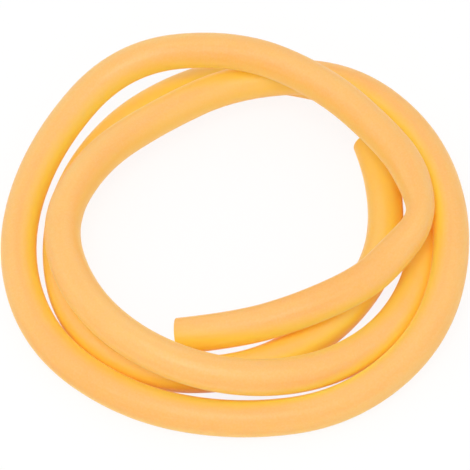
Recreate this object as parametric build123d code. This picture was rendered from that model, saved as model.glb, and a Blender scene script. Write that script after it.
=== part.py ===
from build123d import *

import math
import os

# Natural rubber laboratory tubing, one length cut square at both ends and laid down in a loose coil of
# nearly three and a half turns. Sizes are in millimetres. +Z is up, +X right and +Y away from the viewer.
# The origin is on the surface that the coil lies on, under the middle of its box.

# Driving dimensions
bore_diameter = 6.0
wall_thickness = 1.5
tube_length = 1000.0

# An arc of the route takes this share of its shorter run, at each of its two ends.
bend_share = 0.45

# How the tube lies, read from above on a clock face with twelve o'clock away from the viewer: the hour,
# counted on through the turns, then the inset of the tube's middle from the outermost turn and its lift off
# the surface, both in tube diameters. A negative inset lies further out.
turn_shares = [
    # First turn, on the surface: inner right, under the second turn at the left, then out under the far right
    (1.55, 0.75, 0.00), (2, 1.26, 0.00), (3, 1.88, 0.00), (4, 2.36, 0.00), (5, 2.36, 0.00),
    (6, 1.94, 0.00), (7, 1.32, 0.00), (8, 1.21, 0.00), (9, 1.18, 0.00), (10, 1.00, 0.00),
    (11, 0.57, 0.00), (12, -0.05, 0.00), (13, -0.32, 0.00), (13.5, -0.34, 0.00),
    # Second turn: back in, up over the first turn at the near side, and out over it at the far right
    (14, 0.00, 0.00), (15, 0.75, 0.00), (16, 1.00, 0.00), (17, 1.17, 0.35), (18, 1.22, 0.87),
    (19, 1.31, 1.08), (20, 1.29, 1.06), (21, 1.18, 1.06), (22, 1.51, 0.95), (23, 1.58, 0.72),
    (24, 0.92, 0.78), (25, 0.14, 1.04), (26, 0.09, 1.09),
    # Third turn: down to the surface round the near side, then up over both turns at the far side
    (27, 0.10, 0.86), (28, -0.02, 0.32), (29, 0.09, 0.00), (30, 0.46, 0.00), (31, 0.32, 0.00),
    (32, 0.00, 0.00), (33, -0.04, 0.05), (34, -0.07, 0.50), (35, -0.29, 1.38), (36, 0.64, 1.98),
    (37, 1.18, 1.88), (38, 1.15, 1.62),
    # Last stretch: a tight bend at the right, then across the first turn and down inside the near side
    (38.5, 0.89, 1.61), (39, 1.01, 1.40), (39.5, 1.71, 1.16), (40, 2.12, 1.10), (41, 2.79, 1.04),
    (42, 2.95, 0.60), (42.9, 2.50, 0.25),
]
hour_degrees = 360 / 12
fit_rounds = 4  # rounds in which the coil is opened or closed until its route has the tube's length

# Derived sizes
bore_radius = bore_diameter / 2
tube_radius = bore_radius + wall_thickness
tube_diameter = 2 * tube_radius
coil_angle = math.radians((turn_shares[-1][0] - turn_shares[0][0]) * hour_degrees)


def route_points(coil_radius):
    # Arcs pass inside their corners, so each corner stands out by the secant of half the turn made there.
    points = []
    last = len(turn_shares) - 1
    for here, (hour, inset_share, lift_share) in enumerate(turn_shares):
        reach = coil_radius - inset_share * tube_diameter
        if 0 < here < last:
            swing = (turn_shares[here + 1][0] - turn_shares[here - 1][0]) * hour_degrees / 2
            reach /= math.cos(math.radians(swing / 2))
        bearing = math.radians(hour * hour_degrees)
        height = tube_radius + lift_share * tube_diameter
        points.append(Vector(reach * math.sin(bearing), reach * math.cos(bearing), height))
    return points


def bend_radii(points):
    runs = [after - before for before, after in zip(points, points[1:])]
    radii = []
    for into, out_of in zip(runs, runs[1:]):
        half_turn = math.radians(into.get_angle(out_of) / 2)
        radii.append(bend_share * min(into.length, out_of.length) / math.tan(half_turn))
    return radii


def coil_route():
    # The coil radius runs from the middle of the coil to the middle of the tube in the outermost turn.
    coil_radius = tube_length / coil_angle
    for _ in range(fit_rounds):
        corners = route_points(coil_radius)
        radii = bend_radii(corners)
        path = FilletPolyline(*corners, radius=radii)
        coil_radius += (tube_length - path.length) / coil_angle
    return path, radii


def rubber_tube(path):
    section = Circle(tube_radius) - Circle(bore_radius)
    tube = sweep(Plane(origin=path @ 0, z_dir=path % 0) * section, path=path)
    middle = tube.bounding_box().center()
    return Pos(-middle.X, -middle.Y, 0) * tube


route, radii = coil_route()
tube = rubber_tube(route)
tube.label = "rubber_tube"

section_area = math.pi * (tube_radius**2 - bore_radius**2)
print("bend radii", [round(radius, 1) for radius in radii])
print("tightest bend in tube diameters", round(min(radii) / tube_diameter, 2))
print("route length", round(route.length, 2), "for a tube of", tube_length)
print("volume", round(tube.volume, 1), "section times length", round(section_area * route.length, 1))

os.makedirs("parts", exist_ok=True)
export_step(tube, "parts/rubber_tube.step")
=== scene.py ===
import math

import bpy
import numpy as np
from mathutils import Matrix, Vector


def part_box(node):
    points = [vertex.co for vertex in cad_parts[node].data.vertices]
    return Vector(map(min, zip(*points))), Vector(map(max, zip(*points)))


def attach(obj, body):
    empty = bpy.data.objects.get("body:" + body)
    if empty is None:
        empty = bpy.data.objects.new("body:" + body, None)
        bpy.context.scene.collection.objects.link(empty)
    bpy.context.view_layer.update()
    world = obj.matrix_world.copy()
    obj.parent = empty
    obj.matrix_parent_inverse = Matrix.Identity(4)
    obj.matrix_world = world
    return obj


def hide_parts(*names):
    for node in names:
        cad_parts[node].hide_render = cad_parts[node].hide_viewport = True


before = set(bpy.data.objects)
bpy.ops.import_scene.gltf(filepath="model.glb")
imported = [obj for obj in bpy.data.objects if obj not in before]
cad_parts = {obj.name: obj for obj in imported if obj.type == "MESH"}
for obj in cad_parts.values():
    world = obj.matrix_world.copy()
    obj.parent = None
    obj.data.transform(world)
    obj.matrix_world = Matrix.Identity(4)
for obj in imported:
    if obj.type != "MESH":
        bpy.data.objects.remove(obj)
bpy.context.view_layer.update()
scene = bpy.context.scene
scene.view_settings.view_transform = "Standard"
scene.cycles.max_bounces = 24  # light goes back and forth through the wall and between the turns
scene.cycles.diffuse_bounces = 24
print("frame loaded with nodes", sorted(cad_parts))


def link(name, data):
    thing = bpy.data.objects.new(name, data)
    scene.collection.objects.link(thing)
    return thing


def linear(hexColour):  # an sRGB hex colour as the linear RGBA that a shader socket takes
    shown = np.array([int(hexColour[i:i + 2], 16) for i in (1, 3, 5)]) / 255
    light = np.where(shown <= 0.04045, shown / 12.92, ((shown + 0.055) / 1.055) ** 2.4)
    return (*light.tolist(), 1.0)


def addNode(tree, kind, inputs, **settings):  # inputs: socket name or number to a value, or to an output to link
    node = tree.nodes.new(kind)
    for name, value in settings.items():
        setattr(node, name, value)
    for socket, value in inputs.items():
        if isinstance(value, bpy.types.NodeSocket):
            tree.links.new(value, node.inputs[socket])
        else:
            node.inputs[socket].default_value = value
    return node


def seenDirectly(tree):  # 1 for the rays in which the white backdrop shows itself, 0 for those that light the tube
    rays = addNode(tree, "ShaderNodeLightPath", {}).outputs
    mirrored = addNode(tree, "ShaderNodeMath", {0: rays["Is Camera Ray"], 1: rays["Is Glossy Ray"]},
                       operation="MAXIMUM")
    return addNode(tree, "ShaderNodeMath", {0: mirrored.outputs[0], 1: rays["Is Transmission Ray"]},
                   operation="MAXIMUM").outputs[0]


cameraSpec = {
    "target": (0.00024, -0.0014, 0.009),
    "elevation": 55,  # degrees above the floor, looking along +Y
    "distance": 0.8,
    "span": 0.1171,  # width of the picture at the target
}
tilt = math.radians(cameraSpec["elevation"])
cameraData = bpy.data.cameras.new("camera")
cameraData.lens = cameraData.sensor_width * cameraSpec["distance"] / cameraSpec["span"]
camera = link("camera", cameraData)
toCamera = np.array([0, -math.cos(tilt), math.sin(tilt)])
camera.location = np.array(cameraSpec["target"]) + cameraSpec["distance"] * toCamera
camera.rotation_euler = (math.pi / 2 - tilt, 0, 0)
scene.camera = camera
print("camera with a lens of", round(cameraData.lens, 1), "mm")


tubeSpec = {
    "outside": 0.009,
    "bore": 0.006,
    "length": 1.0,
    "cutEdge": 0.00015,  # a sharp knife leaves the cut edges barely rounded
    "cutSteps": 3,
    "around": 48,
    "lineSteps": 16,  # points of the smooth line for each point of the route
    "roundBend": 0.027,  # the tightest bend radius that leaves the tube round
    "flatBend": 0.019,  # the bend radius at which it is pressed most
    "mostOval": 0.27,
    "ovalReach": 0.006,  # how far along the tube a bend's oval fades out
    "floorReach": 0.006,  # how far up the coil's shade on the floor shows in it, as painted shade
}

# The route of the CAD tube, read from above on a clock face with twelve o'clock away from the viewer: the hour
# counted on through the turns, the inset from the outermost turn and the lift off the floor in tube diameters.
# Seven insets are moved by under a fifth of a diameter, where turns touch, leave a slit or bend more sharply.
turnShares = [
    # first turn, on the floor: inner right, under the second turn at the left, out under the far right
    (1.55, 0.75, 0.00), (2, 1.26, 0.00), (3, 1.96, 0.00), (4, 2.36, 0.00), (5, 2.36, 0.00),
    (6, 1.94, 0.00), (7, 1.32, 0.00), (8, 1.03, 0.00), (9, 1.15, 0.00), (10, 1.00, 0.00),
    (11, 0.57, 0.00), (12, -0.05, 0.00), (13, -0.32, 0.00), (13.5, -0.34, 0.00),
    # second turn: back in, up over the first turn at the near side, out over it at the far right
    (14, 0.00, 0.00), (15, 0.75, 0.00), (16, 1.00, 0.00), (17, 1.17, 0.35), (18, 1.22, 0.87),
    (19, 1.31, 1.08), (20, 1.29, 1.06), (21, 1.18, 1.06), (22, 1.51, 0.95), (23, 1.58, 0.72),
    (24, 0.92, 0.78), (25, 0.14, 1.04), (26, 0.09, 1.09),
    # third turn: down to the floor round the near side, then up over both turns at the far side
    (27, 0.10, 0.86), (28, -0.02, 0.32), (29, 0.14, 0.00), (30, 0.46, 0.00), (31, 0.32, 0.00),
    (32, 0.00, 0.00), (33, -0.04, 0.05), (34, -0.07, 0.50), (35, -0.29, 1.38), (36, 0.64, 1.98),
    (37, 1.18, 1.88), (38, 1.15, 1.62),
    # last stretch: a tight bend at the right, then across the first turn and down inside the near side
    (38.5, 0.99, 1.61), (39, 0.88, 1.40), (39.5, 1.66, 1.16), (40, 2.12, 1.10), (41, 2.79, 1.04),
    (42, 2.95, 0.60), (42.9, 2.50, 0.25),
]


def routePoints(coilRadius):  # the line passes inside its points, so each stands out by the secant of half its turn
    points = []
    for here, (hour, inset, lift) in enumerate(turnShares):
        reach = coilRadius - inset * tubeSpec["outside"]
        if 0 < here < len(turnShares) - 1:
            reach /= math.cos(math.radians((turnShares[here + 1][0] - turnShares[here - 1][0]) * 30 / 4))
        bearing = math.radians(hour * 30)
        points.append((reach * math.sin(bearing), reach * math.cos(bearing), (0.5 + lift) * tubeSpec["outside"]))
    return np.array(points)


def smoothLine(points):  # a NURBS spline with the route's points as its control points, read back as points
    curve = bpy.data.curves.new("tubeLine", "CURVE")
    curve.dimensions = "3D"
    spline = curve.splines.new("NURBS")
    spline.points.add(len(points) - 1)
    spline.points.foreach_set("co", np.column_stack([points, np.ones(len(points))]).ravel())
    spline.order_u = 3
    spline.use_endpoint_u = True
    spline.resolution_u = tubeSpec["lineSteps"]
    holder = link("tubeLine", curve)
    mesh = bpy.data.meshes.new_from_object(holder)
    line = np.empty(len(mesh.vertices) * 3)
    mesh.vertices.foreach_get("co", line)
    bpy.data.objects.remove(holder)
    bpy.data.curves.remove(curve)
    bpy.data.meshes.remove(mesh)
    return line.reshape(-1, 3)


def unit(vectors):
    return vectors / np.linalg.norm(vectors, axis=1, keepdims=True)


low, high = (np.array(corner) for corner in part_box("rubber_tube"))
line = smoothLine(routePoints((high[0] - low[0] - tubeSpec["outside"]) / 2))
line[:, :2] += (low + high)[:2] / 2 - (line.min(0) + line.max(0))[:2] / 2
along = np.concatenate([[0], np.cumsum(np.linalg.norm(np.diff(line, axis=0), axis=1))])
print("tube line of", len(line), "points,", round(along[-1], 4), "m long")


def tubeSurface():
    # Place = line(s) + r * (cos(a) * side + sin(a) * top), where the profile (s, r) runs along the outer wall,
    # over the cut face, back along the bore and over the other cut face, and a goes once round the section.
    # A tight bend presses the section oval, in along the bend's radius by k and out across it by k, where k goes
    # in a smooth step from 0 at the round bend's curvature to the most at the flat bend's. What would sink into
    # the floor is pressed flat on it.
    outer, inner = tubeSpec["outside"] / 2, tubeSpec["bore"] / 2
    edge, end = tubeSpec["cutEdge"], along[-1]
    heading = unit(np.gradient(line, along, axis=0))
    bend = np.gradient(heading, along, axis=0)
    spread = np.exp(-((along[:, None] - along[None]) / tubeSpec["ovalReach"]) ** 2) * np.gradient(along)[None]
    spread /= spread.sum(1, keepdims=True)
    bend = spread @ bend
    first, last = 1 / tubeSpec["roundBend"], 1 / tubeSpec["flatBend"]
    step = np.clip((np.linalg.norm(bend, axis=1) - first) / (last - first), 0, 1)
    oval = spread @ (tubeSpec["mostOval"] * step ** 2 * (3 - 2 * step))
    side = unit(np.cross(heading, (0, 0, 1)))
    top = np.cross(side, heading)
    inward = unit(bend)

    quarter = np.linspace(0, math.pi / 2, tubeSpec["cutSteps"] + 1)
    run = along[(along > 2 * edge) & (along < end - 2 * edge)]
    cutS = np.concatenate([edge * (np.sin(quarter) - 1), [0, 0, 0], edge * (np.cos(quarter) - 1)])
    cutR = np.concatenate([outer + edge * (np.cos(quarter) - 1),
                           [outer - 2 * edge, (outer + inner) / 2, inner + 2 * edge],
                           inner + edge * (1 - np.sin(quarter))])
    s = np.concatenate([run, end + cutS, run[::-1], -cutS[::-1]])
    r = np.concatenate([np.full(len(run), outer), cutR, np.full(len(run), inner), cutR[::-1]])
    at = np.clip(s, 0, end)

    def rows(values):
        return np.column_stack([np.interp(at, along, column) for column in values.T])[:, None]

    a = np.arange(tubeSpec["around"]) * 2 * math.pi / tubeSpec["around"]
    spoke = r[:, None, None] * (np.cos(a)[None, :, None] * rows(side) + np.sin(a)[None, :, None] * rows(top))
    bent = rows(inward)
    press = np.interp(at, along, oval)[:, None, None]
    toward = (spoke * bent).sum(2, keepdims=True) * bent
    across = spoke - toward
    place = rows(line) + toward * (1 - press) + across * (1 + press)
    place[..., 2] = np.maximum(place[..., 2], 0)
    straight = np.stack(np.broadcast_arrays(r[:, None] * np.cos(a), r[:, None] * np.sin(a), s[:, None]), axis=2)
    return place, unit(spoke.reshape(-1, 3)), straight


def turnsSeen(place, normal, s):
    # The share of each spot's view that other turns and the shaded floor fill. A short length of turn fills
    # width * length * sine of its slant * cosine off the spot's normal / (pi * distance^2), and the floor fills a
    # third of (1 - normal's z), fading with the spot's height. It is the mask of the painted glow and shade in the
    # nooks.
    spots, facing = (part.reshape(-1, 3).astype(np.float32) for part in (place, normal))
    turns, heading, where, length = (part[::2].astype(np.float32) for part in
                                     (line, unit(np.gradient(line, along, axis=0)), along, 2 * np.gradient(along)))
    square = (spots ** 2).sum(1)[:, None] + (turns ** 2).sum(1)[None] - 2 * spots @ turns.T
    square = np.maximum(square, (tubeSpec["outside"] / 2) ** 2)
    ahead = facing @ turns.T - (facing * spots).sum(1)[:, None]
    slant = spots @ heading.T - (turns * heading).sum(1)[None]
    sine = np.sqrt(np.maximum(1 - slant ** 2 / square, 0))
    seen = tubeSpec["outside"] * length * sine * np.maximum(ahead, 0) / square ** 1.5
    seen[np.abs(s.ravel()[:, None] - where[None]) < 3 * tubeSpec["outside"]] = 0
    below = (1 - facing[:, 2]) / 3 * np.exp(-spots[:, 2] / tubeSpec["floorReach"])
    return np.minimum(seen.sum(1) / math.pi + below, 1)


def closedGrid(name, place):  # rows and columns both close on themselves, as on a ring
    rows, columns = place.shape[:2]
    corner = np.arange(rows * columns).reshape(rows, columns)
    nextRow, nextColumn = np.roll(corner, -1, 0), np.roll(corner, -1, 1)
    faces = np.stack([corner, nextRow, np.roll(nextRow, -1, 1), nextColumn], axis=2).reshape(-1, 4)
    mesh = bpy.data.meshes.new(name)
    mesh.from_pydata(place.reshape(-1, 3), [], faces)
    mesh.shade_smooth()
    return mesh


place, normal, straight = tubeSurface()
tubeMesh = closedGrid("rubberTube", place)
straightPlace = tubeMesh.attributes.new("straightPlace", "FLOAT_VECTOR", "POINT")  # its place when pulled straight
straightPlace.data.foreach_set("vector", straight.ravel())
paintedGlowNook = tubeMesh.attributes.new("paintedGlowNook", "FLOAT", "POINT")  # how much each spot lies in a nook between turns: the mask of the painted glow
paintedGlowNook.data.foreach_set("value", turnsSeen(place, normal, straight[..., 2]))
tube = link("rubberTube", tubeMesh)
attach(tube, "root")
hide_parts("rubber_tube")
print("tube of", len(tubeMesh.polygons), "faces")


# Natural latex rubber, dipped, cured and dusted with talc: amber and translucent, a satin skin with faint cloudy
# patches, soft streaks and fine lines along its length, paled by the dust. In the nooks between turns a clear gold is
# painted as the glow of light through the rubber around them, and the dust is left out there as painted shade.
latexSpec = {
    "amber": "#FFB34A",
    "honey": "#FFC164",
    # painted glow: the gold of light coming through the rubber, painted into the nooks
    "paintedGlowGold": "#FFDA5C",
    "talc": "#FFF4E8",
    "bloom": "#FFD0A0",  # the skin's sheen at its rims
    "leastDust": 0.03,
    "mostDust": 0.11,
    "openNook": 0.1,  # share of its view filled by other turns, from which the painted glow turns a spot gold
    "deepNook": 0.7,
    "leastRough": 0.36,
    "mostRough": 0.46,
    "lightDepth": 0.001,  # m, how deep light goes into the wall
    "lineRelief": 0.0001,  # m
    "dustRelief": 0.00005,
    "lineSize": 0.9,  # mm, as all the patterns are
    "lineLength": 70,
    "streakSize": 3,
    "streakLength": 90,
    "streakShare": 0.5,  # of the colour's change, the rest being the clouds'
    "cloudSize": 18,
    "cloudLength": 60,
    "dustSize": 0.5,
}
latex = bpy.data.materials.new("naturalLatexSatin")
latex.use_nodes = True
tree = latex.node_tree
tree.nodes.clear()
skin = addNode(tree, "ShaderNodeAttribute", {}, attribute_name="straightPlace").outputs["Vector"]


def patches(size, length, detail):  # noise whose patches are size mm across and length mm along the tube
    wide, tall = 1000 / size, 1000 / length
    stretched = addNode(tree, "ShaderNodeMapping", {"Vector": skin, "Scale": (wide, wide, tall)})
    return addNode(tree, "ShaderNodeTexNoise",
                   {"Vector": stretched.outputs[0], "Scale": 1.0, "Detail": detail, "Roughness": 0.55}).outputs["Fac"]


clouds = patches(latexSpec["cloudSize"], latexSpec["cloudLength"], 3)
streaks = patches(latexSpec["streakSize"], latexSpec["streakLength"], 2)
lines = patches(latexSpec["lineSize"], latexSpec["lineLength"], 2)
dust = patches(latexSpec["dustSize"], latexSpec["dustSize"], 4)
# painted glow: the nook mask paints gold where light through the rubber would fill the creases
paintedGlowNookFill = addNode(tree, "ShaderNodeAttribute", {}, attribute_name="paintedGlowNook").outputs["Fac"]
openShare = addNode(tree, "ShaderNodeMapRange", {"Value": paintedGlowNookFill, "From Min": latexSpec["openNook"],
                                                 "From Max": latexSpec["deepNook"], "To Min": 1.0, "To Max": 0.0})
marbled = addNode(tree, "ShaderNodeMix", {0: latexSpec["streakShare"], 2: clouds, 3: streaks})
marbledRange = addNode(tree, "ShaderNodeMapRange", {"Value": marbled.outputs[0], "From Min": 0.35, "From Max": 0.65})
body = addNode(tree, "ShaderNodeMix", {0: marbledRange.outputs[0], 6: linear(latexSpec["amber"]),
                                       7: linear(latexSpec["honey"])}, data_type="RGBA")
# painted glow: gold painted over the body colour in the nooks
paintedGlowTone = addNode(tree, "ShaderNodeMix", {0: openShare.outputs[0], 6: linear(latexSpec["paintedGlowGold"]), 7: body.outputs[2]},
                data_type="RGBA")
satin = addNode(tree, "ShaderNodeMapRange", {"Value": lines, "From Min": 0.3, "From Max": 0.7,
                                             "To Min": latexSpec["leastRough"], "To Max": latexSpec["mostRough"]})
relief = addNode(tree, "ShaderNodeBump", {"Height": lines, "Strength": 0.12, "Distance": latexSpec["lineRelief"]})
grain = addNode(tree, "ShaderNodeBump", {"Height": dust, "Strength": 0.1, "Distance": latexSpec["dustRelief"],
                                         "Normal": relief.outputs[0]})
rubber = addNode(tree, "ShaderNodeBsdfPrincipled", {
    "Base Color": paintedGlowTone.outputs[2],
    "Roughness": satin.outputs[0],
    "IOR": 1.52,
    "Normal": grain.outputs[0],
    "Subsurface Weight": 1.0,
    "Subsurface Radius": (1.0, 1.0, 0.5),
    "Subsurface Scale": latexSpec["lightDepth"],
    "Sheen Weight": 0.6,
    "Sheen Roughness": 0.3,
    "Sheen Tint": linear(latexSpec["bloom"]),
})
powder = addNode(tree, "ShaderNodeBsdfDiffuse", {"Color": linear(latexSpec["talc"]), "Normal": grain.outputs[0]})
dustRange = addNode(tree, "ShaderNodeMapRange", {"Value": dust, "From Min": 0.3, "From Max": 0.7,
                                                 "To Min": latexSpec["leastDust"], "To Max": latexSpec["mostDust"]})
# talc dust, left out of the nooks as painted shade, so that the creases keep a deep colour with no pale film
dustAndPaintedShadeShare = addNode(tree, "ShaderNodeMath", {0: dustRange.outputs[0], 1: openShare.outputs[0]}, operation="MULTIPLY")
dusted = addNode(tree, "ShaderNodeMixShader", {0: dustAndPaintedShadeShare.outputs[0], 1: rubber.outputs[0], 2: powder.outputs[0]})
addNode(tree, "ShaderNodeOutputMaterial", {"Surface": dusted.outputs[0]})
tubeMesh.materials.append(latex)
print("rubber finished")


floorSpec = {
    "half": 3.0,
    "drop": 0.00005,  # below the tube, so that the two don't share a plane
    "colour": "#FCFCFC",
    "white": 0.88,  # share of plain white in what the camera sees, the rest being lit and shadowed
}
corners = np.array([(-1, -1, 0), (1, -1, 0), (1, 1, 0), (-1, 1, 0)]) * floorSpec["half"]
floorMesh = bpy.data.meshes.new("floor")
floorMesh.from_pydata(corners - (0, 0, floorSpec["drop"]), [], [(0, 1, 2, 3)])
floor = link("floor", floorMesh)
paper = bpy.data.materials.new("paleSeamlessPaper")  # matt paper: even, with no gloss
paper.use_nodes = True
tree = paper.node_tree
tree.nodes.clear()
matt = addNode(tree, "ShaderNodeBsdfDiffuse", {"Color": linear(floorSpec["colour"])})
plain = addNode(tree, "ShaderNodeEmission", {"Color": (1, 1, 1, 1), "Strength": 1.0})
share = addNode(tree, "ShaderNodeMath", {0: seenDirectly(tree), 1: floorSpec["white"]}, operation="MULTIPLY")
seen = addNode(tree, "ShaderNodeMixShader", {0: share.outputs[0], 1: matt.outputs[0], 2: plain.outputs[0]})
addNode(tree, "ShaderNodeOutputMaterial", {"Surface": seen.outputs[0]})
floorMesh.materials.append(paper)


lightSpec = {
    "room": 0.85,  # even light from all round
    "boxes": {  # place, size and power of each soft box, aimed at the coil
        "front": ((-0.1, -0.4, 0.95), 0.4, 2.8),
    },
}
world = bpy.data.worlds.new("studio")
scene.world = world
world.use_nodes = True
tree = world.node_tree
tree.nodes.clear()
level = addNode(tree, "ShaderNodeMapRange", {"Value": seenDirectly(tree), "To Min": lightSpec["room"], "To Max": 1.0})
room = addNode(tree, "ShaderNodeBackground", {"Color": (1, 1, 1, 1), "Strength": level.outputs[0]})
addNode(tree, "ShaderNodeOutputWorld", {"Surface": room.outputs[0]})
for name, (spot, size, power) in lightSpec["boxes"].items():
    lamp = bpy.data.lights.new(name, "AREA")
    lamp.shape = "SQUARE"
    lamp.size = size
    lamp.energy = power
    box = link(name, lamp)
    box.location = spot
    box.rotation_euler = (-box.location).to_track_quat("-Z", "Y").to_euler()
print("floor and lights in place")
